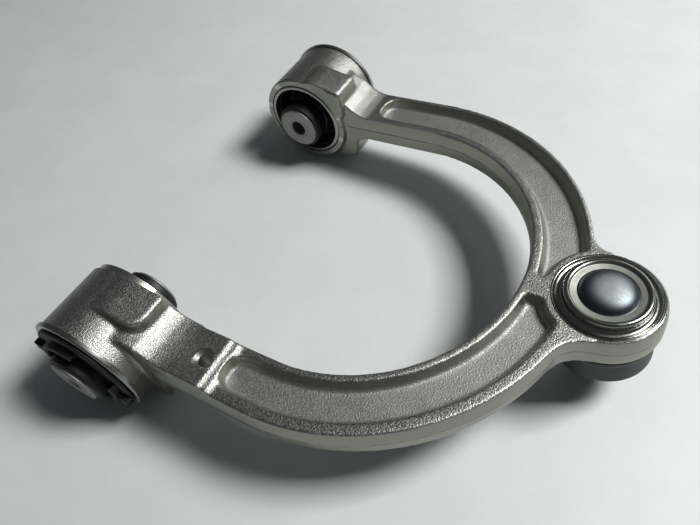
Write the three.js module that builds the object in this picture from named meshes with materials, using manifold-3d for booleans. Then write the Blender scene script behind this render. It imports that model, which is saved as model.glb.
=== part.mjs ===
// Forged horseshoe suspension control arm with two rubber bushes and a ball joint.
// Millimetres, +Z up. Everything is drawn in the arm's own axes first: X from the bush
// axis towards the ball joint, Y along the bush axis, Z up through the ball joint. The
// finished arm is then laid down on a flat floor, standing on its two eyes and its stud.
import * as THREE from "three";
import { mergeVertices } from "three/addons/utils/BufferGeometryUtils.js";
import Module from "manifold-3d";

const wasm = await Module();
wasm.setup();

// ---- driving dimensions ---------------------------------------------------------------
const GAP = 0.3;              // left between pieces that touch
const ROUND = 24;             // facets round a turned piece

const SPAN = 215;             // bush centre to bush centre
const ARC_X = 95;             // centre of the horseshoe, ahead of the bush axis
const ARC_IN = 88;
const ARC_OUT = 118;
const LIMB = 8.5;             // half the thickness of the limbs
const EDGE = 1.4;             // rounding of the limb edges

const RIB_IN = 4.5;           // rib widths either side of the channel
const RIB_OUT = 5.5;
const CHANNEL = 5.5;          // channel depth, top and bottom
const WEB = 11;               // solid bridge between the two channels, at the ball joint
const CHANNEL_START = { rear: 77, front: 56 };

const EYE_R = 31.4;           // bush eyes: radius, bore and faces, counted from mid-span
const EYE_BORE = 27.3;
const EYE_IN = 86;
const EYE_OUT = 126.5;

const PAD = { x: 64, y: -103.5, start: 50, end: 70.5, top: 12, hole: 3.3, sink: 5.6 };

const BALL_X = 221;           // ball joint, from the bush axis
const BALL_Y = 3.5;
const BALL_Z = -1.5;          // centre of the ball
const BALL_R = 13;
const HOUSING_R = 27;
const FILLET = { rear: 16, front: 8 };
const SOCKET_R = 17;          // bore that holds the bearing, ring and cap
const COVER_Z = 11;           // top face of the closing cap
const DOME_R = 13;
const DOME_H = 4.5;

const SLEEVE_R = 13.75;       // inner sleeves
const SLEEVE_BORE = 5.2;
const SLEEVE_IN = 75;
const SLEEVE_OUT = 140;
const SHELL_R = 27;           // outer sleeves
const SHELL_WALL = 3;
const FLANGE_R = 32.5;        // outer end of the outer sleeve; the arm rests on it
const LUG_TURN = 0.45;        // radians the stop lugs sit round from the arm's plane

const NECK_R = 20.5;          // spigot under the housing that holds the boot
const BOOT_R = 24.4;
const BEAD_R = 26.2;
const BOOT_TOP = -8.8;
const BOOT_BOTTOM = -28;
const PIN_R = 8;
const STUD_TIP = -49;
const TIP_R = 6.5;

// ---- small helpers --------------------------------------------------------------------
const plain = (geometry) => {
  const copy = geometry.index ? geometry.clone() : geometry;
  for (const name of Object.keys(copy.attributes)) {
    if (name !== "position") copy.deleteAttribute(name);
  }
  return mergeVertices(copy, 1e-4);
};

const solid = (geometry) => {
  const merged = plain(geometry);
  const mesh = new wasm.Mesh({
    numProp: 3,
    vertProperties: new Float32Array(merged.attributes.position.array),
    triVerts: new Uint32Array(merged.index.array),
  });
  return new wasm.Manifold(mesh);
};

const surface = (manifold) => {
  const mesh = manifold.getMesh();
  const geometry = new THREE.BufferGeometry();
  geometry.setAttribute("position", new THREE.BufferAttribute(mesh.vertProperties, 3));
  geometry.setIndex(new THREE.BufferAttribute(mesh.triVerts, 1));
  return geometry;
};

// A turned piece about the Y axis, from [radius, height] points, given in either
// direction. A ring closes on itself.
const turned = (points, ring = false, facets = ROUND) => {
  const profile = points.map(([r, h]) => new THREE.Vector2(r, h));
  if (THREE.ShapeUtils.area(profile) < 0) profile.reverse();
  if (ring) profile.push(profile[0].clone());
  return plain(new THREE.LatheGeometry(profile, facets));
};

// The same about the ball joint's upright axis.
const turnedAtBall = (points, ring = false, facets = ROUND) =>
  turned(points, ring, facets).rotateX(Math.PI / 2).translate(BALL_X, BALL_Y, 0);

// A flat outline in X and Z, drawn out along Y from one value to the other.
const drawnAlongY = (outline, from, to) => {
  const shape = new THREE.Shape(outline.map(([x, z]) => new THREE.Vector2(x, z)));
  const geometry = new THREE.ExtrudeGeometry(shape, { depth: to - from, bevelEnabled: false });
  return geometry.rotateX(Math.PI / 2).translate(0, to, 0);
};

// Points of a circular arc, for profiles.
const arc = (cx, cy, r, fromDeg, toDeg, steps) =>
  Array.from({ length: steps + 1 }, (_, i) => {
    const a = THREE.MathUtils.degToRad(fromDeg + ((toDeg - fromDeg) * i) / steps);
    return [cx + r * Math.cos(a), cy + r * Math.sin(a)];
  });

// ---- the forging ----------------------------------------------------------------------
// Centre of a hollow fillet that touches the outside of the horseshoe and of the housing.
const filletCentre = (radius, side) => {
  const dx = BALL_X - ARC_X;
  const distance = Math.hypot(dx, BALL_Y);
  const toArc = ARC_OUT + radius;
  const toBall = HOUSING_R + radius;
  const along = (toArc ** 2 - toBall ** 2 + distance ** 2) / (2 * distance);
  const off = side * Math.sqrt(toArc ** 2 - along ** 2);
  const ux = dx / distance;
  const uy = BALL_Y / distance;
  return [ARC_X + ux * along - uy * off, uy * along + ux * off];
};

const planform = () => {
  const shape = new THREE.Shape();
  const root = EYE_R - 10;
  const front = filletCentre(FILLET.front, 1);
  const rear = filletCentre(FILLET.rear, -1);
  const angle = ([x, y], cx, cy) => Math.atan2(y - cy, x - cx);
  const frontOnArc = angle(front, ARC_X, 0);
  const rearOnArc = angle(rear, ARC_X, 0);
  const frontOnBall = angle(front, BALL_X, BALL_Y);
  const rearOnBall = angle(rear, BALL_X, BALL_Y);
  shape.moveTo(root, -ARC_IN);
  shape.lineTo(ARC_X, -ARC_IN);
  shape.absarc(ARC_X, 0, ARC_IN, -Math.PI / 2, Math.PI / 2, false);
  shape.lineTo(root, ARC_IN);
  shape.lineTo(root, ARC_OUT);
  shape.lineTo(ARC_X, ARC_OUT);
  shape.absarc(ARC_X, 0, ARC_OUT, Math.PI / 2, frontOnArc, true);
  shape.absarc(front[0], front[1], FILLET.front, frontOnArc - Math.PI, frontOnBall + Math.PI, false);
  shape.absarc(BALL_X, BALL_Y, HOUSING_R, frontOnBall, rearOnBall, true);
  shape.absarc(rear[0], rear[1], FILLET.rear, rearOnBall - Math.PI, rearOnArc + Math.PI, false);
  shape.absarc(ARC_X, 0, ARC_OUT, rearOnArc, -Math.PI / 2, true);
  shape.lineTo(root, -ARC_OUT);
  return shape;
};

const limbs = () => {
  const geometry = new THREE.ExtrudeGeometry(planform(), {
    depth: 2 * (LIMB - EDGE),
    bevelThickness: EDGE,
    bevelSize: EDGE,
    bevelOffset: -EDGE,
    bevelSegments: 1,
    curveSegments: 24,
  });
  return solid(geometry.translate(0, 0, EDGE - LIMB));
};

// The eye's barrel with its raised inboard rim. side is 1 for the front eye, -1 for the rear.
const eye = (side) => {
  const barrel = [
    [0, EYE_IN - 1],
    [29.3, EYE_IN - 1],
    [29.5, EYE_IN],
    [EYE_R - 2, EYE_IN],
    [EYE_R, EYE_IN + 2],
    [EYE_R, EYE_OUT - 1],
    [EYE_R - 1, EYE_OUT],
    [0, EYE_OUT],
  ];
  return solid(turned(barrel, false, 40).rotateX(side > 0 ? 0 : Math.PI));
};

// What carries the load from an eye into its limb: ramps above and below, and a top block.
const shoulder = (side) => {
  const under = [[10, -29.5], [30, -26.5], [35, -24], [38, -13], [44, -LIMB + 0.2]];
  const over = [[50, LIMB - 0.5], [36, 14.5], [27, 19], [10, 26]];
  const block = [[5, 22], [5, 31.8], [12, 31], [30, 27.6], [32.5, 25.5], [33.5, 12], [20, 12]];
  const ys = side > 0 ? [ARC_IN + 0.6, ARC_OUT - 0.6] : [0.6 - ARC_OUT, -ARC_IN - 0.6];
  const top = side > 0 ? [EYE_IN + 1.2, 108] : [-110, -EYE_IN - 1.2];
  return solid(drawnAlongY([...under, ...over], ...ys)).add(solid(drawnAlongY(block, ...top)));
};

// The raised pad on the rear limb, for a bracket or a level sensor.
const pad = () => {
  const outline = [
    [44, 0], [44, LIMB + 2], [PAD.start, PAD.top], [PAD.end, PAD.top], [77, LIMB - 0.6], [77, 0],
  ];
  return solid(drawnAlongY(outline, 1 - ARC_OUT, -ARC_IN - 1));
};

const padHole = () => {
  const profile = [
    [0, -LIMB - 1],
    [PAD.hole, -LIMB - 1],
    [PAD.hole, PAD.top - 2],
    [PAD.sink, PAD.top - 1],
    [PAD.sink, PAD.top + 1],
    [0, PAD.top + 1],
  ];
  return solid(turned(profile, false, 24).rotateX(Math.PI / 2).translate(PAD.x, PAD.y, 0));
};

// One long channel from limb to limb, before the bridge and the housing are kept out of it.
const channelOutline = () => {
  const inner = ARC_IN + RIB_IN;
  const outer = ARC_OUT - RIB_OUT;
  const end = (outer - inner) / 2;
  const middle = inner + end;
  const shape = new THREE.Shape();
  shape.moveTo(CHANNEL_START.rear + end, -inner);
  shape.lineTo(ARC_X, -inner);
  shape.absarc(ARC_X, 0, inner, -Math.PI / 2, Math.PI / 2, false);
  shape.lineTo(CHANNEL_START.front + end, inner);
  shape.absarc(CHANNEL_START.front + end, middle, end, -Math.PI / 2, Math.PI / 2, true);
  shape.lineTo(ARC_X, outer);
  shape.absarc(ARC_X, 0, outer, Math.PI / 2, -Math.PI / 2, true);
  shape.lineTo(CHANNEL_START.rear + end, -outer);
  shape.absarc(CHANNEL_START.rear + end, -middle, end, -Math.PI / 2, Math.PI / 2, true);
  return shape;
};

const channels = () => {
  const depth = 20;
  const flat = { depth, bevelEnabled: false, curveSegments: 20 };
  const blank = new THREE.ExtrudeGeometry(channelOutline(), flat);
  const guard = new THREE.CylinderGeometry(HOUSING_R + 1, HOUSING_R + 1, 60, 32);
  guard.rotateX(Math.PI / 2).translate(BALL_X, BALL_Y, 0);
  const bridge = new THREE.BoxGeometry(60, WEB, 60).translate(BALL_X - 30, -1.5, 0);
  const cutter = solid(blank).subtract(solid(guard)).subtract(solid(bridge));
  const above = cutter.translate([0, 0, LIMB - CHANNEL]);
  const below = cutter.translate([0, 0, CHANNEL - LIMB - depth]);
  return above.add(below);
};

// Spigot below the housing and the lip that is rolled over the closing cap.
const housing = () => {
  const profile = [
    [0, -12],
    [NECK_R - 0.8, -12],
    [NECK_R, -11.2],
    [NECK_R, 0],
    [18.9, 0],
    [18.9, 9.5],
    [18.2, COVER_Z + 0.6],
    [17, COVER_Z + 1.4],
    [15.6, COVER_Z + 1.3],
    [0, COVER_Z + 1.3],
  ];
  return solid(turnedAtBall(profile, false, 32));
};

// Relief round the rolled lip.
const lipRelief = () => {
  const profile = [[18.9, 6.4], [20.6, 6], [22.6, 7.4], [23.4, LIMB + 2], [18.9, LIMB + 2]];
  return solid(turnedAtBall(profile, true, 32));
};

// Socket: throat for the stud, bore for the bearing, undercut that traps the cap.
const socket = () => {
  const profile = [
    [0, -14],
    [14.6, -14],
    [12.2, -7.5],
    [SOCKET_R, -7.5],
    [SOCKET_R, COVER_Z + GAP],
    [15.2, COVER_Z + GAP],
    [15.2, COVER_Z + 4],
    [0, COVER_Z + 4],
  ];
  return solid(turnedAtBall(profile, false, 32));
};

const bushBore = (side) => {
  const bore = new THREE.CylinderGeometry(EYE_BORE, EYE_BORE, 60, 40);
  return solid(bore.translate(0, (side * (EYE_IN + EYE_OUT)) / 2, 0));
};

const forging = () => {
  let body = limbs().add(pad());
  for (const side of [1, -1]) {
    body = body.add(shoulder(side)).add(eye(side));
  }
  body = body.subtract(channels()).subtract(lipRelief()).add(housing()).subtract(socket());
  for (const side of [1, -1]) {
    body = body.subtract(bushBore(side));
  }
  return surface(body.subtract(padHole()));
};

// ---- bush pieces, drawn for the front eye ---------------------------------------------
const outerSleeve = () => {
  const bore = SHELL_R - SHELL_WALL;
  const face = EYE_OUT + GAP;
  return turned(
    [[bore, 85.2], [SHELL_R - 1, 84.6], [SHELL_R, 85.4], [SHELL_R, face], [FLANGE_R, face],
      [FLANGE_R, face + 2.2], [FLANGE_R - 0.5, face + 2.6], [bore, face + 2.6]],
    true,
  );
};

const rubberCore = () => {
  const inner = SLEEVE_R + GAP;
  const outer = SHELL_R - SHELL_WALL - GAP;
  return turned(
    [[inner, 88], [15.5, 89.5], [18.9, 98], [21.5, 91], [outer, 87.5],
      [outer, 126], [21.5, 122], [18.9, 115], [16, 123], [inner, 124]],
    true,
  );
};

const innerSleeve = () => turned(
  [[SLEEVE_BORE, SLEEVE_IN + 0.5], [SLEEVE_BORE + 0.5, SLEEVE_IN], [SLEEVE_R - 0.6, SLEEVE_IN],
    [SLEEVE_R, SLEEVE_IN + 0.6], [SLEEVE_R, SLEEVE_OUT - 0.6], [SLEEVE_R - 0.6, SLEEVE_OUT],
    [SLEEVE_BORE + 0.5, SLEEVE_OUT], [SLEEVE_BORE, SLEEVE_OUT - 0.5]],
  true,
);

const inboardCollar = () => turned(
  [[SLEEVE_R + GAP, 76.2], [15, 76.2], [15.4, 77], [15.4, 87.5], [SLEEVE_R + GAP, 87.5]],
  true,
);

const outboardCollar = () => turned(
  [[SLEEVE_R + GAP, 124.4], [16.4, 125], [16.4, 135.5], [15.2, 138.4], [SLEEVE_R + GAP, 138.4]],
  true,
);

// Rubber buffer on the flange: a ring with two raised arcs and two locating lugs.
const buffer = () => {
  const back = EYE_OUT + 2 * GAP + 2.6;
  const ring = turned([
    [17.2, back], [29.6, back], [29.6, back + 0.9], [28.9, back + 1.5], [17.2, back + 1.5],
  ], true);
  let body = solid(ring);
  for (const turn of [0, Math.PI]) {
    const sweep = new THREE.Shape();
    sweep.absarc(0, 0, 22.9, 0.5, Math.PI - 0.5, false);
    sweep.absarc(0, 0, 19.4, Math.PI - 0.5, 0.5, true);
    const rib = new THREE.ExtrudeGeometry(sweep, { depth: 4.4, bevelEnabled: false, curveSegments: 8 });
    rib.rotateX(Math.PI / 2).rotateY(turn).translate(0, back + 1 + 4.4, 0);
    const lug = new THREE.BoxGeometry(5, 4, 7.6).translate(27, back + 2.6, 0).rotateY(turn - LUG_TURN);
    body = body.add(solid(rib)).add(solid(lug));
  }
  return surface(body);
};

// ---- ball joint pieces ----------------------------------------------------------------
const ballStud = () => {
  const start = -90 + THREE.MathUtils.radToDeg(Math.asin(6.6 / BALL_R));
  return turnedAtBall([
    [0, STUD_TIP],
    [TIP_R, STUD_TIP],
    [PIN_R, STUD_TIP + 1.6],
    [PIN_R, -42.5],
    [6.7, -41.4],
    [6.7, -37.8],
    [PIN_R, -36.6],
    [PIN_R, -22],
    [6.6, -17],
    ...arc(0, BALL_Z, BALL_R, start, 90, 10).slice(0, -1),
    [0, BALL_Z + BALL_R],
  ]);
};

const bearingShell = () => {
  const r = BALL_R + GAP;
  const low = THREE.MathUtils.radToDeg(Math.asin((-7.2 - BALL_Z) / r));
  const high = THREE.MathUtils.radToDeg(Math.asin((3 - BALL_Z) / r));
  return turnedAtBall([
    ...arc(0, BALL_Z, r, high, low, 6),
    [SOCKET_R - GAP, -7.2],
    [SOCKET_R - GAP, 3],
  ], true);
};

const supportRing = () => {
  const r = SOCKET_R - GAP;
  return turnedAtBall([[14.4, 3.3], [r, 3.3], [r, COVER_Z - 1.8], [15.2, COVER_Z - 1.8]], true);
};

// Spherical cup that presses on top of the ball and turns with it.
const pressureCup = () => turnedAtBall([
  ...arc(0, BALL_Z, BALL_R + GAP, 90, 57, 5),
  ...arc(0, BALL_Z, BALL_R + 1.8, 57, 90, 5),
].map(([r, z], i) => [i === 0 || i === 11 ? 0 : r, z]));

const closingCap = () => {
  const wall = 1.5;
  const dome = (r, h, z) => Array.from({ length: 5 }, (_, i) => {
    const a = (Math.PI / 2) * (1 - i / 5);
    return [i === 0 ? 0 : r * Math.cos(a), z + h * Math.sin(a)];
  });
  const top = [...dome(DOME_R, DOME_H, COVER_Z), [DOME_R, COVER_Z], [SOCKET_R - GAP, COVER_Z]];
  const under = [...dome(DOME_R - 1.2, DOME_H, COVER_Z - wall), [DOME_R - 1.2, COVER_Z - wall]];
  const rim = [SOCKET_R - GAP, COVER_Z - wall];
  return turnedAtBall([...under, rim, ...top.reverse()]);
};

// Its bead holds the spring band in an open groove under the housing.
const boot = () => turnedAtBall([
  [NECK_R + GAP, BOOT_TOP],
  [NECK_R + GAP, -11.6],
  [21.4, -13.4],
  [22.4, -19],
  [21.4, -25.4],
  [19, -26.4],
  [11, -26.2],
  [11, BOOT_BOTTOM],
  [21.2, BOOT_BOTTOM],
  [23.5, -26.8],
  [BOOT_R, -23.5],
  [BOOT_R, -14.2],
  [BEAD_R, -12],
  [BEAD_R, BOOT_TOP],
  [24.2, BOOT_TOP],
  [24.2, -11.8],
  [22.6, -11.8],
  [22.6, BOOT_TOP],
], true);

const bootLip = () => turnedAtBall(
  [
    [PIN_R + GAP, -24], [10.6, -24], [10.6, -28.6], [9.9, -28.9],
    [9.9, -30], [10.6, -30.3], [PIN_R + GAP, -30.8],
  ],
  true,
);

const wireRing = (radius, wire, z) => {
  const ring = new THREE.TorusGeometry(radius, wire, 6, ROUND);
  return plain(ring).translate(BALL_X, BALL_Y, z);
};

const bandRing = () => turnedAtBall(
  [[22.9, -9.1], [23.9, -9.1], [23.9, -11.5], [22.9, -11.5]],
  true,
);

// ---- assembly -------------------------------------------------------------------------
const finish = (colour, metalness, roughness) => () =>
  new THREE.MeshStandardMaterial({ color: colour, metalness, roughness });
const aluminium = finish(0xa3a39a, 0.9, 0.5);
const sleeveGrey = finish(0xb0afac, 0.9, 0.45);
const steel = finish(0xc4c6c8, 1, 0.3);
const rubber = finish(0x101114, 0, 0.8);
const plastic = finish(0xe6e0cf, 0, 0.5);

const part = new THREE.Group();
part.name = "control_arm";
const add = (name, geometry, material) => {
  const mesh = new THREE.Mesh(geometry, material());
  mesh.name = name;
  part.add(mesh);
};

add("arm_forging", forging(), aluminium);
for (const [name, turn] of [["front", 0], ["rear", Math.PI]]) {
  add(`${name}_outer_sleeve`, outerSleeve().rotateX(turn), sleeveGrey);
  add(`${name}_rubber_core`, rubberCore().rotateX(turn), rubber);
  add(`${name}_flange_buffer`, buffer().rotateX(turn), rubber);
  add(`${name}_inner_sleeve`, innerSleeve().rotateX(turn), sleeveGrey);
  add(`${name}_inboard_collar`, inboardCollar().rotateX(turn), rubber);
  add(`${name}_outboard_collar`, outboardCollar().rotateX(turn), rubber);
}
add("ball_stud", ballStud(), steel);
add("bearing_shell", bearingShell(), plastic);
add("pressure_cup", pressureCup(), plastic);
add("support_ring", supportRing(), steel);
add("closing_cap", closingCap(), steel);
add("boot", boot(), rubber);
add("boot_lip", bootLip(), rubber);
add("boot_band", bandRing(), steel);
add("boot_foot_ring", wireRing(10.7, 0.5, -29.45), steel);

// Lay the arm down: the floor touches both flanges and the near edge of the stud's tip.
const footX = BALL_X - TIP_R;
const reach = Math.hypot(footX, STUD_TIP);
const lie = Math.acos(FLANGE_R / reach) - Math.atan2(footX, -STUD_TIP);
for (const mesh of part.children) {
  mesh.geometry.rotateY(-lie);
}
const box = new THREE.Box3().setFromObject(part);
for (const mesh of part.children) {
  mesh.geometry.translate(-(box.min.x + box.max.x) / 2, 0, -box.min.z);
  mesh.geometry.computeVertexNormals();
}

export default part;
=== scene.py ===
import math

import bpy
from mathutils import Matrix, Vector


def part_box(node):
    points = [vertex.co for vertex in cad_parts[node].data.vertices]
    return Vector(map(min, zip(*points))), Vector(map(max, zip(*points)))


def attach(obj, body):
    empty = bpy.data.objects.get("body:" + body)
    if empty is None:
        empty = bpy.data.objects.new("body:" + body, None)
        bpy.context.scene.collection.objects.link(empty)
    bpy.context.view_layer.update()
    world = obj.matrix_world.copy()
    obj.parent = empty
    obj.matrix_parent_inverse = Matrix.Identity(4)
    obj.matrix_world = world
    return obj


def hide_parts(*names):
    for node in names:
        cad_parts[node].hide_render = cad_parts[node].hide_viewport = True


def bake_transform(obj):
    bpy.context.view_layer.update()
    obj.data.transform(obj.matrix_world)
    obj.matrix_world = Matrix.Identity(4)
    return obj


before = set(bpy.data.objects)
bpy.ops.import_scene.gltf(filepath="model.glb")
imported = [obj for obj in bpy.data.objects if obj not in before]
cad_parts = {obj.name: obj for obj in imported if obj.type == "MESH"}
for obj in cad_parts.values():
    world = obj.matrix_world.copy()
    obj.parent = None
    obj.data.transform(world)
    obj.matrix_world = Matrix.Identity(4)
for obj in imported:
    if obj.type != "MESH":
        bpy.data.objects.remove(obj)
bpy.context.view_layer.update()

MM = 0.001
TURN_STEPS = 96

# Driving sizes in millimetres, in the arm's own axes: X from the bush axis towards the
# ball joint, Y along the bush axis, Z up through the ball joint.
ARC_X = 95  # the horseshoe: centre, radii and half thickness
ARC_IN = 88
ARC_OUT = 118
LIMB = 8.5
ROOT = 20

EYE_R = 31.4  # the bush eyes, counted from mid-span
EYE_BORE = 27.3
EYE_IN = 86
EYE_OUT = 126.5
COLLAR_R = 30
COLLAR_END = 89

PAD_START = 50.5  # the raised pad on the rear limb
PAD_END = 70.6
PAD_TOP = 12
PAD_HOLE = (64, -103.5)
HOLE_R = 3.3
SINK_R = 5.6

FLANGE_R = 32.5  # the bushes; turns are in degrees about the bush axis
SLEEVE_R = 13.75
SLEEVE_BORE = 5.2
SLEEVE_IN = 75
SLEEVE_OUT = 140
RIB_SWEEP = 118
RIB_TURNS = (125, 305)
LUG_TURNS = (35, 220)

BALL = (221, 3.5)  # the ball joint's X and Y; heights count from the limbs' mid-height
BALL_Z = -1.5
BALL_R = 13
HOUSING_R = 27
SOCKET_R = 17
LIP_RELIEF_R = 24.9
COVER_Z = 11
DOME_R = 13
DOME_H = 4.5
NECK_R = 20.5
PIN_R = 8
TIP_R = 6.5
STUD_TIP = -49

BOOT_R = 24.4
BEAD_R = 25.8
BOOT_TOP = -8.8
BOOT_SEAM = -18.4
BOOT_BOTTOM = -28
BOOT_WALL = 2.4
BOOT_LEAN = 2.2

# How the arm lies on the floor: nose-up about the bush axis, on its flanges and its stud.
low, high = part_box("front_inner_sleeve")
BUSH_AXIS = Vector(((low.x + high.x) / 2, 0, (low.z + high.z) / 2))
FOOT_X = BALL[0] - TIP_R
LIE = math.acos(FLANGE_R / math.hypot(FOOT_X, STUD_TIP)) - math.atan2(FOOT_X, -STUD_TIP)
LAID_DOWN = Matrix.Translation(BUSH_AXIS) @ Matrix.Rotation(-LIE, 4, "Y")


# ---- modelling helpers ----------------------------------------------------------------
def deselect():
    if bpy.context.object and bpy.context.object.mode != "OBJECT":
        bpy.ops.object.mode_set(mode="OBJECT")
    bpy.ops.object.select_all(action="DESELECT")


def pick(obj):
    deselect()
    obj.select_set(True)
    bpy.context.view_layer.objects.active = obj


def trace(name, points, closed=False):
    """A new piece in edit mode: one corner, drawn on from point to point. Millimetres."""
    deselect()
    first = Vector(points[0]) * MM
    bpy.ops.mesh.primitive_plane_add(size=MM, location=first)
    obj = bpy.context.object
    obj.name = name
    bpy.ops.object.transform_apply(location=True, rotation=True, scale=True)
    bpy.ops.object.mode_set(mode="EDIT")
    bpy.ops.mesh.select_all(action="SELECT")
    bpy.ops.mesh.merge(type="CENTER")
    here = first
    for point in points[1:]:
        there = Vector(point) * MM
        bpy.ops.mesh.extrude_region_move(TRANSFORM_OT_translate={"value": there - here})
        here = there
    if closed:
        bpy.ops.mesh.select_all(action="SELECT")
        bpy.ops.mesh.edge_face_add()
    return obj


def tidy_mesh(distance=1e-6):
    bpy.ops.mesh.select_all(action="SELECT")
    bpy.ops.mesh.remove_doubles(threshold=distance)
    bpy.ops.mesh.normals_make_consistent(inside=False)
    bpy.ops.object.mode_set(mode="OBJECT")


def corner(x, y, r, start, stop, steps=4):
    """Points of a rounded corner about (x, y)."""
    angles = [math.radians(start + (stop - start) * i / steps) for i in range(steps + 1)]
    return [(x + r * math.cos(a), y + r * math.sin(a)) for a in angles]


def turned(name, profile, about="Y", ring=True, steps=TURN_STEPS, arc=360):
    """A piece spun from [radius, height] points about the bush axis or the ball joint."""
    if about == "Y":
        points = [(r, h, 0) for r, h in profile]
        centre, axis = (0, 0, 0), (0, 1, 0)
    else:
        points = [(BALL[0] + r, BALL[1], h) for r, h in profile]
        centre, axis = (BALL[0] * MM, BALL[1] * MM, 0), (0, 0, 1)
    if ring:
        points = points + [points[0]]
    obj = trace(name, points)
    bpy.ops.mesh.select_all(action="SELECT")
    bpy.ops.mesh.spin(steps=steps, angle=math.radians(arc), center=centre, axis=axis)
    if arc < 360:
        bpy.ops.mesh.select_all(action="SELECT")
        bpy.ops.mesh.remove_doubles(threshold=1e-6)
        bpy.ops.mesh.select_all(action="DESELECT")
        bpy.ops.mesh.select_non_manifold()
        bpy.ops.mesh.fill_holes(sides=0)
    tidy_mesh()
    return obj


def drawn_out(name, outline, along, start, stop):
    """A flat outline pulled out along X, Y or Z, from start to stop."""
    spot = {
        "X": lambda a, b: (start, a, b),
        "Y": lambda a, b: (a, start, b),
        "Z": lambda a, b: (a, b, start),
    }
    way = {"X": (1, 0, 0), "Y": (0, 1, 0), "Z": (0, 0, 1)}[along]
    obj = trace(name, [spot[along](a, b) for a, b in outline], closed=True)
    step = Vector(way) * (stop - start) * MM
    bpy.ops.mesh.extrude_region_move(TRANSFORM_OT_translate={"value": step})
    tidy_mesh()
    return obj


def select_where(test):
    """Selects the corners that pass, of the piece being edited."""
    bpy.ops.mesh.select_all(action="DESELECT")
    bpy.ops.object.mode_set(mode="OBJECT")
    for vertex in bpy.context.object.data.vertices:
        vertex.select = test(vertex.co)
    bpy.ops.object.mode_set(mode="EDIT")
    bpy.ops.mesh.select_mode(type="VERT")


def swept(name, section, side, sweep, tails, steps=90):
    """A (radius, height) section swept round the horseshoe from one limb towards the other.
    side is -1 to start on the rear limb. Each tail is (side, [(length, shrink), ...])."""
    middle = sum(r for r, _ in section) / len(section)
    points = [(ARC_X, side * r, z) for r, z in section]
    obj = trace(name, points + [points[0]])
    bpy.ops.mesh.select_all(action="SELECT")
    turn = side * math.radians(sweep)
    bpy.ops.mesh.spin(steps=steps, angle=turn, center=(ARC_X * MM, 0, 0), axis=(0, 0, 1))
    bpy.ops.mesh.select_all(action="SELECT")
    bpy.ops.mesh.remove_doubles(threshold=1e-6)
    for end, stretches in tails:
        select_where(lambda co: abs(co.x - ARC_X * MM) < 1e-5 and co.y * end > 0)
        for length, shrink in stretches:
            step = Vector((-length * MM, 0, 0))
            bpy.ops.mesh.extrude_region_move(TRANSFORM_OT_translate={"value": step})
            bpy.ops.transform.resize(value=(1, shrink, 1), center_override=(0, end * middle * MM, 0))
    bpy.ops.mesh.select_all(action="DESELECT")
    bpy.ops.mesh.select_non_manifold()
    bpy.ops.mesh.fill_holes(sides=0)
    tidy_mesh()
    return obj


def modify(obj, kind, **settings):
    pick(obj)
    modifier = obj.modifiers.new(kind.title(), kind)
    for key, value in settings.items():
        setattr(modifier, key, value)
    bpy.ops.object.modifier_apply(modifier=modifier.name)


def combine(obj, other, operation="UNION"):
    """Joins the other piece to obj, or cuts it away, and uses it up."""
    modify(obj, "BOOLEAN", operation=operation, object=other, solver="MANIFOLD")
    bpy.data.objects.remove(other)


def soften(obj, angle=35):
    pick(obj)
    bpy.ops.object.shade_smooth_by_angle(angle=math.radians(angle))


def bevelled(obj, width, segments=2, angle=30):
    modify(obj, "BEVEL", width=width * MM, segments=segments, angle_limit=math.radians(angle))


def copied(obj, name, matrix):
    twin = obj.copy()
    twin.data = obj.data.copy()
    twin.name = name
    bpy.context.collection.objects.link(twin)
    twin.matrix_world = matrix @ twin.matrix_world
    pick(twin)
    bpy.ops.object.transform_apply(location=True, rotation=True, scale=True)
    return twin


def moved(obj, matrix):
    """Puts a piece drawn at the origin where the matrix says, for good."""
    obj.matrix_world = matrix
    pick(obj)
    bpy.ops.object.transform_apply(location=True, rotation=True, scale=True)


# ---- material helpers -----------------------------------------------------------------
def srgb(code):
    """A hex colour as the linear values that the shader needs."""
    values = [int(code[i : i + 2], 16) / 255 for i in (1, 3, 5)]
    linear = [v / 12.92 if v <= 0.04045 else ((v + 0.055) / 1.055) ** 2.4 for v in values]
    return (*linear, 1)


def per(size_mm):
    """Noise scale whose features are about this many millimetres across."""
    return 1 / (size_mm * MM)


def add(tree, kind, inputs=None, **settings):
    """A node with its settings. Inputs are values, or other nodes' outputs to link."""
    node = tree.nodes.new(kind)
    for key, value in settings.items():
        setattr(node, key, value)
    for key, value in (inputs or {}).items():
        if isinstance(value, bpy.types.NodeSocket):
            tree.links.new(value, node.inputs[key])
        else:
            node.inputs[key].default_value = value
    return node


def new_material(name):
    material = bpy.data.materials.new(name)
    material.use_nodes = True
    tree = material.node_tree
    shader = tree.nodes["Principled BSDF"]
    # Where a point is in the arm's own axes, in metres, whatever way the arm lies.
    place = add(tree, "ShaderNodeTexCoord").outputs["Object"]
    own = add(
        tree,
        "ShaderNodeMapping",
        {"Vector": place, "Location": BUSH_AXIS, "Rotation": (0, -LIE, 0)},
        vector_type="TEXTURE",
    )
    return material, tree, shader, own.outputs[0]


def paint(obj, material):
    obj.data.materials.clear()
    obj.data.materials.append(material)


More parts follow.
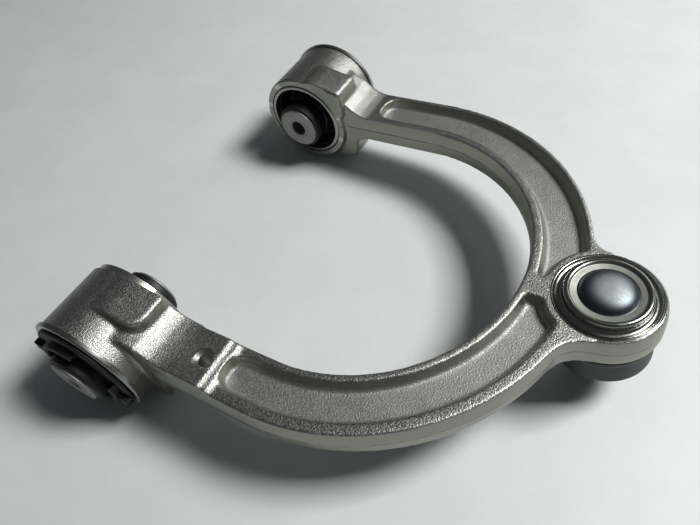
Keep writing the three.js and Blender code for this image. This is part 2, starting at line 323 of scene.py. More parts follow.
# ---- materials ------------------------------------------------------------------------
def shot_blasted_aluminium():
    # Forged aluminium blasted with steel shot: a grey metal with a sandy, glittering grain.
    # Where the die wall rubbed it, on the upright flanks, it is smoother and a little olive.
    # The grain is drawn at 0.8 to 0.9 mm, coarser than real blasting leaves it, so that it shows.
    material, tree, shader, own = new_material("shot_blasted_aluminium")
    flank = add(tree, "ShaderNodeAttribute", attribute_name="flank").outputs["Fac"]
    grain = add(tree, "ShaderNodeTexNoise", {"Vector": own, "Scale": per(0.8), "Detail": 2, "Roughness": 0.7})
    cloud = add(tree, "ShaderNodeTexNoise", {"Vector": own, "Scale": per(14), "Detail": 4, "Roughness": 0.6})
    shot = add(tree, "ShaderNodeTexVoronoi", {"Vector": own, "Scale": per(0.9), "Randomness": 1})
    drag = add(tree, "ShaderNodeMapping", {"Vector": own, "Scale": (1, 1, 7)})
    scuff = add(
        tree,
        "ShaderNodeTexNoise",
        {"Vector": drag.outputs[0], "Scale": per(9), "Detail": 5, "Roughness": 0.7},
    )

    blasted = add(
        tree,
        "ShaderNodeMix",
        {"Factor": cloud.outputs["Fac"], 6: srgb("#8a8b88"), 7: srgb("#b0b0ab")},
        data_type="RGBA",
    )
    rubbed = add(
        tree,
        "ShaderNodeMix",
        {"Factor": scuff.outputs["Fac"], 6: srgb("#82837a"), 7: srgb("#a3a397")},
        data_type="RGBA",
    )
    colour = add(
        tree,
        "ShaderNodeMix",
        {"Factor": flank, 6: blasted.outputs[2], 7: rubbed.outputs[2]},
        data_type="RGBA",
    )
    height = add(tree, "ShaderNodeSeparateXYZ", {"Vector": own}).outputs["Z"]
    off_line = add(tree, "ShaderNodeMath", {0: height}, operation="ABSOLUTE")
    seam = add(
        tree,
        "ShaderNodeMapRange",
        {"Value": off_line.outputs[0], "From Min": 0.1 * MM, "From Max": 0.55 * MM, "To Min": 1, "To Max": 0},
        interpolation_type="SMOOTHSTEP",
    )
    worn = add(tree, "ShaderNodeMapRange", {"Value": scuff.outputs["Fac"], "From Min": 0.4, "From Max": 0.65})
    clear = add(tree, "ShaderNodeMath", {0: seam.outputs[0], 1: worn.outputs[0]}, operation="MULTIPLY")
    parting = add(tree, "ShaderNodeMath", {0: clear.outputs[0], 1: flank}, operation="MULTIPLY")
    stained = add(
        tree,
        "ShaderNodeMix",
        {"Factor": parting.outputs[0], 6: colour.outputs[2], 7: srgb("#6c6b61")},
        data_type="RGBA",
    )
    cut = add(tree, "ShaderNodeAttribute", attribute_name="machined").outputs["Fac"]
    bright = add(
        tree,
        "ShaderNodeMix",
        {"Factor": cut, 6: stained.outputs[2], 7: srgb("#b9b8b2")},
        data_type="RGBA",
    )
    tree.links.new(bright.outputs[2], shader.inputs["Base Color"])

    # The channels' floors are blasted hardest; the ribs, the pad and the eyes shine more.
    depth = add(
        tree,
        "ShaderNodeMapRange",
        {"Value": off_line.outputs[0], "From Min": 4 * MM, "From Max": 7.5 * MM, "To Min": 0.17, "To Max": 0},
    )
    glitter = add(
        tree,
        "ShaderNodeMapRange",
        {"Value": shot.outputs["Distance"], "From Min": 0.1, "From Max": 0.75, "To Min": 0.26, "To Max": 0.5},
    )
    sparkle = add(tree, "ShaderNodeMath", {0: depth.outputs[0], 1: glitter.outputs[0]}, operation="ADD")
    smooth = add(
        tree,
        "ShaderNodeMapRange",
        {"Value": scuff.outputs["Fac"], "From Min": 0.3, "From Max": 0.7, "To Min": 0.34, "To Max": 0.46},
    )
    rough = add(
        tree,
        "ShaderNodeMix",
        {"Factor": flank, 2: sparkle.outputs[0], 3: smooth.outputs[0]},
        data_type="FLOAT",
    )
    cut_rough = add(tree, "ShaderNodeMix", {"Factor": cut, 2: rough.outputs[0], 3: 0.3}, data_type="FLOAT")
    tree.links.new(cut_rough.outputs[0], shader.inputs["Roughness"])

    smoother = add(tree, "ShaderNodeMath", {0: flank, 1: cut}, operation="MAXIMUM")
    calm = add(tree, "ShaderNodeMapRange", {"Value": smoother.outputs[0], "To Min": 1, "To Max": 0.22})
    relief = add(tree, "ShaderNodeMath", {0: grain.outputs["Fac"], 1: calm.outputs[0]}, operation="MULTIPLY")
    lift = add(
        tree,
        "ShaderNodeMath",
        {0: parting.outputs[0], 1: 0.8, 2: relief.outputs[0]},
        operation="MULTIPLY_ADD",
    )
    bump = add(tree, "ShaderNodeBump", {"Height": lift.outputs[0], "Strength": 1, "Distance": 0.3 * MM})
    tree.links.new(bump.outputs[0], shader.inputs["Normal"])
    shader.inputs["Metallic"].default_value = 1
    return material


def turned_metal(name, light, dark, roughness, about, pitch=0.35, marks=0.12, pressed=0):
    # Metal cut on a lathe: rings round its axis, and slight stains from handling. The rings are
    # wider than a real tool's feed, so that they show; marks is how deep they look.
    # pressed adds roughness inside the rolled lip's crest, where the roller flattened it.
    material, tree, shader, own = new_material(name)
    parts = add(tree, "ShaderNodeSeparateXYZ", {"Vector": own})
    if about == "Y":
        across, up, middle = "X", "Z", (0, 0)
    else:
        across, up, middle = "X", "Y", (BALL[0] * MM, BALL[1] * MM)
    off_x = add(tree, "ShaderNodeMath", {0: parts.outputs[across], 1: middle[0]}, operation="SUBTRACT")
    off_y = add(tree, "ShaderNodeMath", {0: parts.outputs[up], 1: middle[1]}, operation="SUBTRACT")
    flat = add(tree, "ShaderNodeCombineXYZ", {"X": off_x.outputs[0], "Y": off_y.outputs[0]})
    radius = add(tree, "ShaderNodeVectorMath", {0: flat.outputs[0]}, operation="LENGTH").outputs["Value"]
    along = parts.outputs["Y" if about == "Y" else "Z"]
    track = add(tree, "ShaderNodeMath", {0: radius, 1: along}, operation="ADD")
    ring = add(tree, "ShaderNodeCombineXYZ", {"X": track.outputs[0]})
    lines = add(tree, "ShaderNodeTexNoise", {"Vector": ring.outputs[0], "Scale": per(pitch), "Detail": 2})
    stain = add(tree, "ShaderNodeTexNoise", {"Vector": own, "Scale": per(6), "Detail": 5, "Roughness": 0.65})
    colour = add(
        tree,
        "ShaderNodeMix",
        {"Factor": stain.outputs["Fac"], 6: srgb(dark), 7: srgb(light)},
        data_type="RGBA",
    )
    tree.links.new(colour.outputs[2], shader.inputs["Base Color"])
    rough = add(
        tree,
        "ShaderNodeMapRange",
        {"Value": stain.outputs["Fac"], "From Min": 0.3, "From Max": 0.7,
         "To Min": roughness + 0.07, "To Max": roughness - 0.05},
    )
    matt = add(
        tree,
        "ShaderNodeMapRange",
        {"Value": radius, "From Min": 16 * MM, "From Max": 17 * MM, "To Min": pressed, "To Max": 0},
    )
    total = add(tree, "ShaderNodeMath", {0: rough.outputs[0], 1: matt.outputs[0]}, operation="ADD")
    tree.links.new(total.outputs[0], shader.inputs["Roughness"])
    bump = add(
        tree,
        "ShaderNodeBump",
        {"Height": lines.outputs["Fac"], "Strength": marks, "Distance": 0.1 * MM},
    )
    tree.links.new(bump.outputs[0], shader.inputs["Normal"])
    shader.inputs["Metallic"].default_value = 1
    return material


def pressed_zinc_steel():
    # Deep-drawn sheet steel, zinc plated: cool grey, satin, with a crystalline, dusty grain.
    material, tree, shader, own = new_material("pressed_zinc_steel")
    crystal = add(
        tree,
        "ShaderNodeTexNoise",
        {"Vector": own, "Scale": per(1.3), "Detail": 4, "Roughness": 0.7},
    )
    film = add(tree, "ShaderNodeTexNoise", {"Vector": own, "Scale": per(7), "Detail": 3, "Roughness": 0.5})
    colour = add(
        tree,
        "ShaderNodeMix",
        {"Factor": film.outputs["Fac"], 6: srgb("#80868a"), 7: srgb("#9fa4a6")},
        data_type="RGBA",
    )
    # The dome's steep sides are painted darker, as painted shade and painted dark reflection, and its crown
    # is left dusty.
    middle = (BALL[0] * MM, BALL[1] * MM, 0)
    offset = add(tree, "ShaderNodeVectorMath", {0: own, 1: middle}, operation="SUBTRACT")
    plan = add(tree, "ShaderNodeVectorMath", {0: offset.outputs[0], 1: (1, 1, 0)}, operation="MULTIPLY")
    radius = add(tree, "ShaderNodeVectorMath", {0: plan.outputs[0]}, operation="LENGTH").outputs["Value"]
    side = add(
        tree,
        "ShaderNodeMapRange",
        {"Value": radius, "From Min": 4.5 * MM, "From Max": 12 * MM},
        interpolation_type="SMOOTHSTEP",
    )
    # Painted shade and reflection: from 4.5 mm out the dome's colour blends to a dark #4c5459 at its sides.
    painted_dark_sides = add(
        tree,
        "ShaderNodeMix",
        {"Factor": side.outputs[0], 6: colour.outputs[2], 7: srgb("#4c5459")},
        data_type="RGBA",
    )
    tree.links.new(painted_dark_sides.outputs[2], shader.inputs["Base Color"])
    rough = add(
        tree,
        "ShaderNodeMapRange",
        {"Value": crystal.outputs["Fac"], "From Min": 0.3, "From Max": 0.7, "To Min": 0.5, "To Max": 0.7},
    )
    slick = add(
        tree,
        "ShaderNodeMix",
        {"Factor": side.outputs[0], 2: rough.outputs[0], 3: 0.42},
        data_type="FLOAT",
    )
    tree.links.new(slick.outputs[0], shader.inputs["Roughness"])
    bump = add(
        tree,
        "ShaderNodeBump",
        {"Height": crystal.outputs["Fac"], "Strength": 0.25, "Distance": 0.12 * MM},
    )
    tree.links.new(bump.outputs[0], shader.inputs["Normal"])
    shader.inputs["Metallic"].default_value = 1
    return material


def moulded_rubber(name, light, dark, roughness):
    # Carbon-black rubber from a mould: nearly black, faintly dusty, with a soft sheen. Its pores
    # are drawn at 0.5 mm, coarser than real ones, so that they show.
    material, tree, shader, own = new_material(name)
    dust = add(tree, "ShaderNodeTexNoise", {"Vector": own, "Scale": per(9), "Detail": 6, "Roughness": 0.7})
    pore = add(tree, "ShaderNodeTexNoise", {"Vector": own, "Scale": per(0.5), "Detail": 2})
    colour = add(
        tree,
        "ShaderNodeMix",
        {"Factor": dust.outputs["Fac"], 6: srgb(dark), 7: srgb(light)},
        data_type="RGBA",
    )
    tree.links.new(colour.outputs[2], shader.inputs["Base Color"])
    rough = add(
        tree,
        "ShaderNodeMapRange",
        {"Value": dust.outputs["Fac"], "From Min": 0.3, "From Max": 0.7,
         "To Min": roughness - 0.06, "To Max": roughness + 0.08},
    )
    tree.links.new(rough.outputs[0], shader.inputs["Roughness"])
    bump = add(
        tree,
        "ShaderNodeBump",
        {"Height": pore.outputs["Fac"], "Strength": 0.18, "Distance": 0.08 * MM},
    )
    tree.links.new(bump.outputs[0], shader.inputs["Normal"])
    shader.inputs["Specular IOR Level"].default_value = 0.4
    return material


def natural_acetal():
    # Acetal: a creamy, waxy plastic, faintly mottled where grease has darkened it.
    material, tree, shader, own = new_material("natural_acetal")
    grease = add(tree, "ShaderNodeTexNoise", {"Vector": own, "Scale": per(4), "Detail": 4})
    colour = add(
        tree,
        "ShaderNodeMix",
        {"Factor": grease.outputs["Fac"], 6: srgb("#cfc6ad"), 7: srgb("#efe9d8")},
        data_type="RGBA",
    )
    tree.links.new(colour.outputs[2], shader.inputs["Base Color"])
    bump = add(
        tree,
        "ShaderNodeBump",
        {"Height": grease.outputs["Fac"], "Strength": 0.1, "Distance": 0.1 * MM},
    )
    tree.links.new(bump.outputs[0], shader.inputs["Normal"])
    shader.inputs["Roughness"].default_value = 0.32
    shader.inputs["Subsurface Weight"].default_value = 0.1
    return material


def floor_paint():
    # Pale matt table top: cool grey, with faint smears.
    material = bpy.data.materials.new("pale_table_top")
    material.use_nodes = True
    tree = material.node_tree
    shader = tree.nodes["Principled BSDF"]
    place = add(tree, "ShaderNodeTexCoord").outputs["Object"]
    smear = add(
        tree,
        "ShaderNodeTexNoise",
        {"Vector": place, "Scale": per(60), "Detail": 7, "Roughness": 0.7},
    )
    colour = add(
        tree,
        "ShaderNodeMix",
        {"Factor": smear.outputs["Fac"], 6: srgb("#c3c7c8"), 7: srgb("#d9dcdb")},
        data_type="RGBA",
    )
    tree.links.new(colour.outputs[2], shader.inputs["Base Color"])
    shader.inputs["Roughness"].default_value = 0.55
    return material


# ---- the forging ----------------------------------------------------------------------
def fillet_outline(radius, side):
    """The web that fills the hollow between the horseshoe and the ball-joint housing."""
    distance = math.hypot(BALL[0] - ARC_X, BALL[1])
    to_arc = ARC_OUT + radius
    to_ball = HOUSING_R + radius
    along = (to_arc**2 - to_ball**2 + distance**2) / (2 * distance)
    off = side * math.sqrt(to_arc**2 - along**2)
    ux = (BALL[0] - ARC_X) / distance
    uy = BALL[1] / distance
    cx = ARC_X + ux * along - uy * off
    cy = uy * along + ux * off
    to_limb = math.degrees(math.atan2(-cy, ARC_X - cx))
    to_housing = math.degrees(math.atan2(BALL[1] - cy, BALL[0] - cx))
    if side > 0:
        to_limb -= 360 if to_limb > 0 else 0
    else:
        to_housing = to_housing % 360
        to_limb = to_limb % 360
    curve = corner(cx, cy, radius, to_limb, to_housing, 12)
    anchor = [(BALL[0] - 6, BALL[1] + side * 4), (BALL[0] - 22, side * 14)]
    return curve + anchor


def channel_cutter(name, inner, outer, side, start):
    """What the channel in one limb takes away; it stops short of the housing and the bridge."""
    section = [(inner - 1.1, 11.5), (outer + 1.1, 11.5), (outer - 2.2, 2.5), (inner + 2.2, 2.5)]
    run = ARC_X - start - 9
    rounding = [(run, 1), (4, 0.93), (2.5, 0.84), (1.6, 0.72), (0.9, 0.55)]
    obj = swept(name, section, side, 89.5, [(side, rounding)])
    guard = turned("guard", [(0, 1), (29.8, 1), (27.2, 13), (0, 13)], about="Z", ring=False)
    combine(obj, guard, "DIFFERENCE")
    bridge = [(-10, 1), (-7.2, 13), (3.6, 13), (6.4, 1)]
    combine(obj, drawn_out("bridge", bridge, "X", 150, 240), "DIFFERENCE")
    return obj


def shoulder(side):
    """Ramps above and below, and the block on top, that carry an eye's load into its limb."""
    under = [
        (8, -30.2), (26, -28.2), (33, -26.8), (35.6, -25),
        (36.8, -20), (37.8, -14), (40, -10.8), (50, 0.6 - LIMB),
    ]
    if side > 0:
        top = [(52, LIMB - 1), (44, 10), (38.5, 12.8), (34, 17), (27, 21), (10, 26)]
    else:
        top = [
            (52, 0), (52, PAD_TOP), (46, 12.8), (41, 14.2),
            (37, 16.5), (33.5, 19.6), (27, 22), (10, 26),
        ]
    near, far = side * (ARC_IN + 0.2), side * (ARC_OUT - 0.2)
    obj = drawn_out("shoulder", under + top, "Y", near, far)
    if side > 0:
        plan = [(6, 84), (33.2, 84), (33.2, 107), (6, 107)]
    else:
        plan = [(6, -88.8), (6, -110.5)] + corner(24.5, -102, 8.7, 270, 360, 6) + [(33.2, -88.8)]
    block = drawn_out("block", plan, "Z", 8, 40)
    roof = [(0, 60), (0, 32.4), (14, 31.2), (29, 27.8), (40, 25), (40, 60)]
    combine(block, drawn_out("roof", roof, "Y", side * 80, side * 115), "DIFFERENCE")
    bevelled(block, 2.4 if side > 0 else 1.2, 3)
    combine(obj, block)
    return obj


def eye(side):
    barrel = [
        (0, EYE_IN - 2), (EYE_R - 1.6, EYE_IN - 2), (EYE_R, EYE_IN),
        (EYE_R, EYE_OUT + 2), (0, EYE_OUT + 2),
    ]
    return turned("eye", [(r, side * h) for r, h in barrel], ring=False)


def horseshoe():
    """The bowed limbs, drawn with a slight draft either side of the parting line."""
    top, middle = (ARC_IN + 0.4, ARC_OUT - 0.5), (ARC_IN - 0.5, ARC_OUT + 0.5)
    section = [
        (top[0], LIMB), (top[1], LIMB), (middle[1], 0.5), (middle[1], -0.5),
        (top[1], -LIMB), (top[0], -LIMB), (middle[0], -0.5), (middle[0], 0.5),
    ]
    root = [(ARC_X - ROOT, 1)]
    return swept("horseshoe", section, -1, 180, [(-1, root), (1, root)], steps=150)


def pad():
    outline = [
        (PAD_START, 0), (PAD_START, PAD_TOP), (PAD_END, PAD_TOP), (72.2, 10.6),
        (75, 10.3), (77.2, LIMB - 0.4), (77.2, 0),
    ]
    return drawn_out("pad", outline, "Y", 0.7 - ARC_OUT, -ARC_IN - 0.7)


def housing():
    profile = [
        (0, -12), (NECK_R, -12), (NECK_R, -8.2), (HOUSING_R - 1, -8.2), (HOUSING_R - 0.1, -6.6),
        (HOUSING_R - 0.3, 0), (HOUSING_R - 0.7, 4.5), (HOUSING_R - 1.5, LIMB), (0, LIMB),
    ]
    return turned("housing", profile, about="Z", ring=False)


def cut_channels(body):
    cutters = [
        channel_cutter("rear_channel", 92.2, 111.7, -1, 75),
        channel_cutter("front_channel", 93.4, 114.6, 1, 54),
    ]
    for cutter in cutters:
        under = copied(cutter, "under_channel", Matrix.Scale(-1, 4, (0, 0, 1)))
        bpy.ops.object.mode_set(mode="EDIT")
        tidy_mesh()
        combine(body, cutter, "DIFFERENCE")
        combine(body, under, "DIFFERENCE")


def bore_eyes(body):
    """Bores and faces both eyes, and turns a collar on the rear one, clear of its limb."""
    bore = [(0, 70), (EYE_BORE, 70), (EYE_BORE, 140), (0, 140)]
    outboard = [(0, EYE_OUT), (36, EYE_OUT), (36, EYE_OUT + 6), (0, EYE_OUT + 6)]
    inboard = [(0, 78), (36, 78), (36, EYE_IN - 1), (0, EYE_IN - 1)]
    for side in (1, -1):
        for profile in (bore, outboard, inboard):
            cut = turned("cut", [(r, side * h) for r, h in profile], ring=False)
            combine(body, cut, "DIFFERENCE")
    collar = [(COLLAR_R, 80), (40, 80), (40, COLLAR_END), (COLLAR_R, COLLAR_END)]
    lathe = turned("cut", [(r, -h) for r, h in collar])
    limb = drawn_out("limb", [(22, -40), (60, -40), (60, 40), (22, 40)], "Y", -70, -100)
    combine(lathe, limb, "DIFFERENCE")
    combine(body, lathe, "DIFFERENCE")


def bore_socket(body):
    profile = [
        (0, -14), (14.6, -14), (12.2, -7.5), (SOCKET_R, -7.5), (SOCKET_R, 3),
        (LIP_RELIEF_R, 3), (LIP_RELIEF_R, 14), (0, 14),
    ]
    combine(body, turned("cut", profile, about="Z", ring=False), "DIFFERENCE")


def finish_pad(body):
    """The thin crease between the pad and the ramp, and the pad's countersunk hole."""
    groove = [(51.1, PAD_TOP + 1), (51.7, PAD_TOP + 1), (51.4, PAD_TOP - 0.9)]
    combine(body, drawn_out("cut", groove, "Y", -122, -84), "DIFFERENCE")
    hole = [
        (0, -14), (HOLE_R, -14), (HOLE_R, PAD_TOP - 2.2),
        (SINK_R, PAD_TOP - 1), (SINK_R, 20), (0, 20),
    ]
    drill = turned("cut", hole, about="Z", ring=False, steps=48)
    shift = Vector((PAD_HOLE[0] - BALL[0], PAD_HOLE[1] - BALL[1], 0)) * MM
    pick(drill)
    bpy.ops.transform.translate(value=shift)
    bpy.ops.object.transform_apply(location=True, rotation=True, scale=True)
    combine(body, drill, "DIFFERENCE")


def forging():
    body = horseshoe()
    combine(body, pad())
    for side in (1, -1):
        combine(body, shoulder(side))
        combine(body, eye(side))
    for radius, side in ((9, 1), (17, -1)):
        combine(body, drawn_out("web", fillet_outline(radius, side), "Z", -LIMB, LIMB))
    combine(body, housing())
    cut_channels(body)
    # Remeshing and smoothing round every edge, as the forging die does.
    modify(body, "REMESH", mode="VOXEL", voxel_size=0.85 * MM)
    modify(body, "SMOOTH", factor=0.5, iterations=10)
    # Machined features are cut last, so their edges stay sharp.
    bore_eyes(body)
    bore_socket(body)
    finish_pad(body)
    body.name = "forging"
    mark_flanks(body)
    mark_machined(body)
    soften(body, 40)
    return body


def mark_flanks(obj):
    """Stores how upright each point of the skin is, for the blasted and rubbed finishes."""
    mesh = obj.data
    mark = mesh.attributes.new("flank", "FLOAT", "POINT")
    for vertex in mesh.vertices:
        lean = 1 - abs(vertex.normal.z)
        mark.data[vertex.index].value = min(1, max(0, (lean - 0.45) / 0.4))


def mark_machined(obj):
    """Stores which faces a cutter left: the rear eye's faces, the collar and the pad's hole."""
    mesh = obj.data
    mark = mesh.attributes.new("machined", "FLOAT", "FACE")
    for face in mesh.polygons:
        x, y, z = face.center / MM
        radius = math.hypot(x, z)
        faced = abs(y) < EYE_IN - 0.95 or abs(y) > EYE_OUT - 0.05
        on_eye = y < 0 and radius < EYE_R + 1 and (faced or radius < EYE_BORE + 0.1)
        on_collar = COLLAR_R - 0.2 < radius < COLLAR_R + 0.1 and abs(y) < COLLAR_END
        in_hole = math.hypot(x - PAD_HOLE[0], y - PAD_HOLE[1]) < 5.65 and z < PAD_TOP - 0.1
        mark.data[face.index].value = float(on_eye or on_collar or in_hole)


def rolled_lip():
    """The machined relief, and the lip rolled over the cap. It is one metal with the forging."""
    flat = [
        (13.5, COVER_Z + 0.05), (13.5, COVER_Z + 0.25),
        (13.75, COVER_Z + 0.4), (16.3, COVER_Z + 0.35),
    ]
    crest = corner(18, COVER_Z + 0.1, 1.5, 165, 0, 10)
    trough = corner(21.7, 9.5, 2.2, 180, 332, 12)
    seam = LIP_RELIEF_R - 0.02
    rim = corner(24.3, 7.75, 0.75, 125, 40, 5)
    base = [(seam, 8.1), (seam, 3.05), (17.05, 3.05), (17.05, COVER_Z + 0.05)]
    obj = turned("rolled_lip", flat + crest + trough + rim + base, about="Z")
    soften(obj, 50)
    return obj


# ---- the rubber bushes, drawn for the front eye ----------------------------------------
def outer_sleeve():
    face = EYE_OUT + 0.3
    profile = (
        [(24.1, 85.1), (24.5, 84.6)]
        + corner(25.6, 86.0, 1.4, 270, 360, 4)
        + [(27, face), (FLANGE_R, face)]
        + corner(FLANGE_R - 0.9, face + 1.7, 0.9, 0, 90, 4)
        + [(25.6, face + 2.6), (24.1, face + 1.6)]
    )
    obj = turned("outer_sleeve", profile)
    soften(obj, 40)
    return obj


def rubber_core():
    """Fills the sleeve between its two collars, with a deep groove moulded into each face."""
    profile = [
        (14.1, 88), (15.6, 89.2), (17.6, 97.4), (19.2, 98.6), (20.8, 97.4), (22.4, 89), (23.6, 87.6),
        (23.6, 126), (22.2, 124.6), (20.6, 116.4), (19.1, 115.2), (17.6, 116.4), (16.2, 123), (14.1, 124),
    ]
    obj = turned("rubber_core", profile)
    bevelled(obj, 0.6, 3, 25)
    soften(obj, 50)
    return obj


def flange_buffer():
    """The rubber disc on the sleeve's flange: two raised arcs and two hooked lugs."""
    back = EYE_OUT + 3.2
    disc = [(17.3, back), (29.6, back), (29.6, back + 0.9), (28.9, back + 1.5), (17.3, back + 1.5)]
    obj = turned("flange_buffer", disc)
    rib = [
        (19.6, back + 1), (23.4, back + 1), (23.1, back + 5),
        (22.5, back + 5.4), (20.5, back + 5.4), (19.9, back + 5),
    ]
    for middle in RIB_TURNS:
        arc = turned("rib", rib, steps=48, arc=RIB_SWEEP)
        moved(arc, Matrix.Rotation(math.radians(middle - RIB_SWEEP / 2), 4, "Y"))
        combine(obj, arc)
    hook = [
        (24.5, -3.8), (29.5, -3.8), (29.5, -1), (27.6, -0.8),
        (27.6, 0.6), (29.5, 0.8), (29.5, 3.8), (24.5, 3.8),
    ]
    for middle in LUG_TURNS:
        lug = drawn_out("lug", hook, "Y", back + 0.7, back + 4.6)
        bevelled(lug, 0.5, 2)
        moved(lug, Matrix.Rotation(math.radians(middle), 4, "Y"))
        combine(obj, lug)
    bevelled(obj, 0.35, 2, 40)
    soften(obj, 40)
    return obj


def inner_sleeve():
    profile = [
        (SLEEVE_BORE, SLEEVE_IN + 0.7), (5.9, SLEEVE_IN), (13.2, SLEEVE_IN), (SLEEVE_R, SLEEVE_IN + 0.6),
        (SLEEVE_R, SLEEVE_OUT - 0.6), (13.2, SLEEVE_OUT), (5.9, SLEEVE_OUT), (SLEEVE_BORE, SLEEVE_OUT - 0.7),
    ]
    obj = turned("inner_sleeve", profile)
    soften(obj, 30)
    return obj


def inboard_collar():
    profile = (
        [(14.05, 76.2)]
        + corner(14.5, 77.4, 1.0, 270, 360, 4)
        + [(15.4, 86.8), (15.2, 87.5), (14.05, 87.5)]
    )
    obj = turned("inboard_collar", profile)
    soften(obj, 50)
    return obj


def outboard_collar():
    profile = (
        [(14.05, 124.4), (16.4, 125), (16.4, 135.5)]
        + corner(14.9, 137, 1.4, 0, 90, 4)
        + [(14.05, 138.4)]
    )
    obj = turned("outboard_collar", profile)
    soften(obj, 50)
    return obj


# ---- the ball joint --------------------------------------------------------------------
def closing_cap():
    """A pressed steel disc with a steep-sided button, held by the rolled lip."""
    dome = [(DOME_R * i / 16, COVER_Z + DOME_H * (1 - (i / 16) ** 2.5) ** 0.62) for i in range(16)]
    under = [(r * 0.9, h - 1.4) for r, h in dome[:14]]
    profile = (
        dome
        + [(DOME_R, COVER_Z + 0.2), (DOME_R + 0.35, COVER_Z), (16.3, COVER_Z), (16.7, COVER_Z - 0.4)]
        + [(16.7, COVER_Z - 1.4), (12.4, COVER_Z - 1.4)]
        + under[::-1]
    )
    obj = turned("closing_cap", profile, about="Z", ring=False)
    soften(obj, 45)
    return obj


def ball_stud():
    angles = [math.radians(90 - 6 * i) for i in range(25)]
    ball = [(BALL_R * math.cos(a), BALL_Z + BALL_R * math.sin(a)) for a in angles]
    neck = [(6.6, -13.2), (6.6, -17), (PIN_R, -20.5), (PIN_R, -22)]
    pin = [
        (PIN_R, -36.4), (7.7, -36.9), (6.8, -37.8), (6.7, -41.2),
        (7.4, -42), (7.6, -42.4), (7.6, -46.8),
    ]
    tip = [(TIP_R, STUD_TIP + 0.3), (TIP_R - 0.5, STUD_TIP), (2.2, STUD_TIP), (0, STUD_TIP + 1.4)]
    obj = turned("ball_stud", ball + neck + pin + tip, about="Z", ring=False)
    soften(obj, 35)
    return obj


def boot_part(name, profile):
    """Part of the boot. Its wall leans a little outboard at the foot; its mouth stays round the stud."""
    obj = turned(name, profile, about="Z")
    # The lean fades in with depth and radius, so the points are moved one by one.
    for vertex in obj.data.vertices:
        out = math.hypot(vertex.co.x - BALL[0] * MM, vertex.co.y - BALL[1] * MM) / MM
        drop = (-12 - vertex.co.z / MM) / (-12 - BOOT_BOTTOM)
        share = min(1, max(0, drop)) * min(1, max(0, (out - 12) / 8))
        vertex.co.x += share * BOOT_LEAN * MM
    soften(obj, 50)
    return obj


def boot_upper():
    groove = [(20.8, BOOT_TOP), (22.6, BOOT_TOP), (22.6, -11.8), (24.2, -11.8), (24.2, BOOT_TOP)]
    bead = corner(BEAD_R - 0.8, BOOT_TOP - 0.8, 0.8, 90, 0, 3) + corner(BEAD_R - 1, -11.6, 1, 0, -60, 3)
    down = [(BOOT_R, -13.6 + (BOOT_SEAM + 13.6) * i / 5) for i in range(6)]
    back = [(BOOT_R - BOOT_WALL, BOOT_SEAM), (BOOT_R - BOOT_WALL, -16), (20.8, -13)]
    return boot_part("boot_upper", groove + bead + down + back)


def boot_lower():
    down = [(BOOT_R, BOOT_SEAM + (BOOT_BOTTOM + 3 - BOOT_SEAM) * i / 4) for i in range(4)]
    turn_under = corner(BOOT_R - 3, BOOT_BOTTOM + 3, 3, 0, -90, 6)
    floor = [(17, BOOT_BOTTOM), (12.2, BOOT_BOTTOM), (11, BOOT_BOTTOM + 0.8), (11, BOOT_BOTTOM + 2.4)]
    inside = [
        (18.4, BOOT_BOTTOM + 2.4), (BOOT_R - 2.8, BOOT_BOTTOM + 4.2),
        (BOOT_R - BOOT_WALL, BOOT_BOTTOM + 5), (BOOT_R - BOOT_WALL, BOOT_SEAM),
    ]
    return boot_part("boot_lower", down + turn_under + floor + inside)


def boot_lip():
    profile = [
        (8.3, -24.4), (8.9, -24), (10.2, -24), (10.6, -24.6), (10.6, -28.8),
        (10.1, -29.3), (10.6, -29.8), (10.4, -30.6), (9.8, -30.8), (8.5, -30.8),
        (8.3, -30.4), (8.6, -28.6), (8.3, -27.4), (8.6, -26.2),
    ]
    obj = turned("boot_lip", profile, about="Z")
    bevelled(obj, 0.15, 2, 30)
    soften(obj, 50)
    return obj


def boot_band():
    """Flat spring ring that holds the boot's top on the spigot."""
    profile = (
        corner(23.55, -9.5, 0.3, 90, 0, 3)
        + corner(23.55, -11.1, 0.3, 0, -90, 3)
        + [(22.95, -11.4), (22.95, -9.2)]
    )
    obj = turned("boot_band", profile, about="Z")
    soften(obj, 40)
    return obj


def boot_foot_ring():
    obj = turned("boot_foot_ring", corner(10.7, -29.45, 0.48, 0, 330, 11), about="Z")
    soften(obj, 60)
    return obj


# ---- the whole arm ---------------------------------------------------------------------
finish = {
    "forging": shot_blasted_aluminium(),
    "lip": turned_metal(
        "machined_aluminium", "#a9aaa5", "#868883", 0.22, "Z", pitch=1.4, marks=0, pressed=0.4
    ),
    "cap": pressed_zinc_steel(),
    "sleeve": turned_metal("turned_sleeve_aluminium", "#a9a9a5", "#858681", 0.3, "Y"),
    "inner": turned_metal("faced_sleeve_metal", "#a5a4a2", "#8b8a88", 0.6, "Y", pitch=0.5, marks=0.06),
    "bush": moulded_rubber("bush_rubber", "#131519", "#060709", 0.55),
    "boot": moulded_rubber("boot_rubber", "#393a3d", "#252629", 0.5),
    "stud": turned_metal("ground_stud_steel", "#8f9092", "#6b6c6e", 0.28, "Z"),
    "spring": turned_metal("spring_steel", "#a5a6a8", "#77787a", 0.3, "Z"),
    "bearing": natural_acetal(),
}


def place(obj, body, slot, material, *stands_for):
    moved(obj, LAID_DOWN)
    paint(obj, material)
    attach(obj, body)
    if stands_for:
        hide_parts(*stands_for)


def bend_between(obj, material):
    """A soft ring of the boot, laid down with the arm and painted; it is joined to no body."""
    moved(obj, LAID_DOWN)
    paint(obj, material)
    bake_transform(obj)
    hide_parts("boot")


BUSH_PIECES = [
    (outer_sleeve, "arm", "sleeve_aluminium", "sleeve"),
    (rubber_core, "arm", "bush_rubber", "bush"),
    (flange_buffer, "arm", "bush_rubber", "bush"),
    (inner_sleeve, "pivot", "plated_steel", "inner"),
    (inboard_collar, "pivot", "bush_rubber", "bush"),
    (outboard_collar, "pivot", "bush_rubber", "bush"),
]
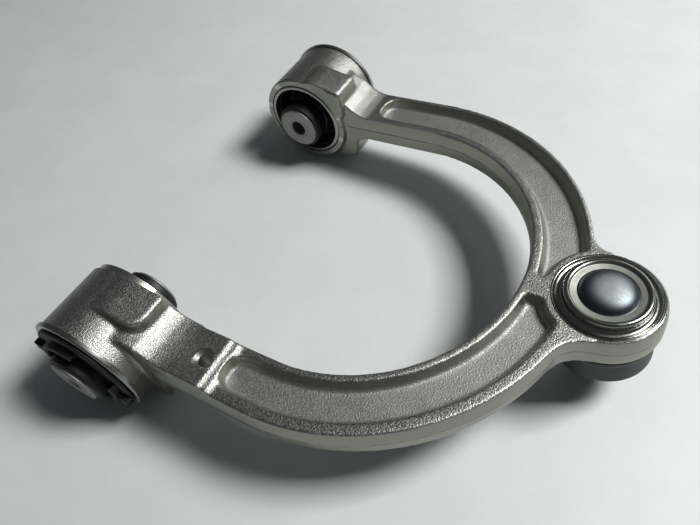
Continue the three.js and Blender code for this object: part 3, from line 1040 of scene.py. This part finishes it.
# The rear bush is the front one turned end for end, and round by its own amount.
END_FOR_END = Matrix.Rotation(math.pi, 4, "X")
REAR_TURN = END_FOR_END @ Matrix.Rotation(math.radians(-61), 4, "Y")

place(forging(), "arm", "forged_aluminium", finish["forging"], "arm_forging")
place(rolled_lip(), "arm", "forged_aluminium", finish["lip"])
for make, body, slot, look in BUSH_PIECES:
    front = make()
    plain = front.name
    rear = copied(front, "rear", REAR_TURN)
    for end, piece in (("front", front), ("rear", rear)):
        piece.name = end + "_bush_" + plain
        moves_with = end + "_pivot" if body == "pivot" else body
        place(piece, moves_with, slot, finish[look], end + "_" + plain)

place(closing_cap(), "arm", "plated_steel", finish["cap"], "closing_cap")
place(ball_stud(), "stud", "stud_steel", finish["stud"], "ball_stud")
place(boot_lip(), "boot_foot", "boot_rubber", finish["boot"], "boot_lip")
place(boot_band(), "arm", "spring_steel", finish["spring"], "boot_band")
place(boot_foot_ring(), "boot_foot", "spring_steel", finish["spring"], "boot_foot_ring")
bend_between(boot_upper(), finish["boot"])
bend_between(boot_lower(), finish["boot"])

for node in ("bearing_shell", "pressure_cup"):
    paint(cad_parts[node], finish["bearing"])
paint(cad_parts["support_ring"], finish["spring"])

# ---- floor, light and camera -----------------------------------------------------------
deselect()
bpy.ops.mesh.primitive_plane_add(size=6, location=(0, 0, 0))
floor = bpy.context.object
floor.name = "floor"
paint(floor, floor_paint())


def soft_light(name, place, size, power, colour):
    deselect()
    bpy.ops.object.light_add(type="AREA", location=place)
    lamp = bpy.context.object
    lamp.name = name
    lamp.data.size = size
    lamp.data.energy = power
    lamp.data.color = colour
    lamp.rotation_euler = (-Vector(place)).to_track_quat("-Z", "Y").to_euler()


soft_light("window", (0.84, 0.56, 1.35), 0.5, 34, (1, 1, 0.985))
soft_light("far_wall", (0.5, 1.7, 0.65), 0.9, 3.5, (0.97, 0.99, 1))

world = bpy.data.worlds.new("studio")
world.use_nodes = True
world.node_tree.nodes["Background"].inputs["Color"].default_value = (0.75, 0.79, 0.82, 1)
world.node_tree.nodes["Background"].inputs["Strength"].default_value = 0.08
bpy.context.scene.world = world
bpy.context.scene.view_settings.view_transform = "Standard"

# The camera stands over the ball joint's side and looks down the arm. It is placed in the
# arm's own axes and then laid down with it.
camera_data = bpy.data.cameras.new("camera")
camera_data.lens = 29.54
camera_data.sensor_width = 36
camera = bpy.data.objects.new("camera", camera_data)
bpy.context.collection.objects.link(camera)
to_right = Vector((0.858, 0.486, -0.168)).normalized()
looks_along = Vector((-0.430, 0.499, -0.752)).normalized()
up = to_right.cross(looks_along)
stand = Matrix((to_right, up, -looks_along)).transposed().to_4x4()
stand.translation = Vector((228.7, -173.3, 234.7)) * MM
camera.matrix_world = LAID_DOWN @ stand
bpy.context.scene.camera = camera
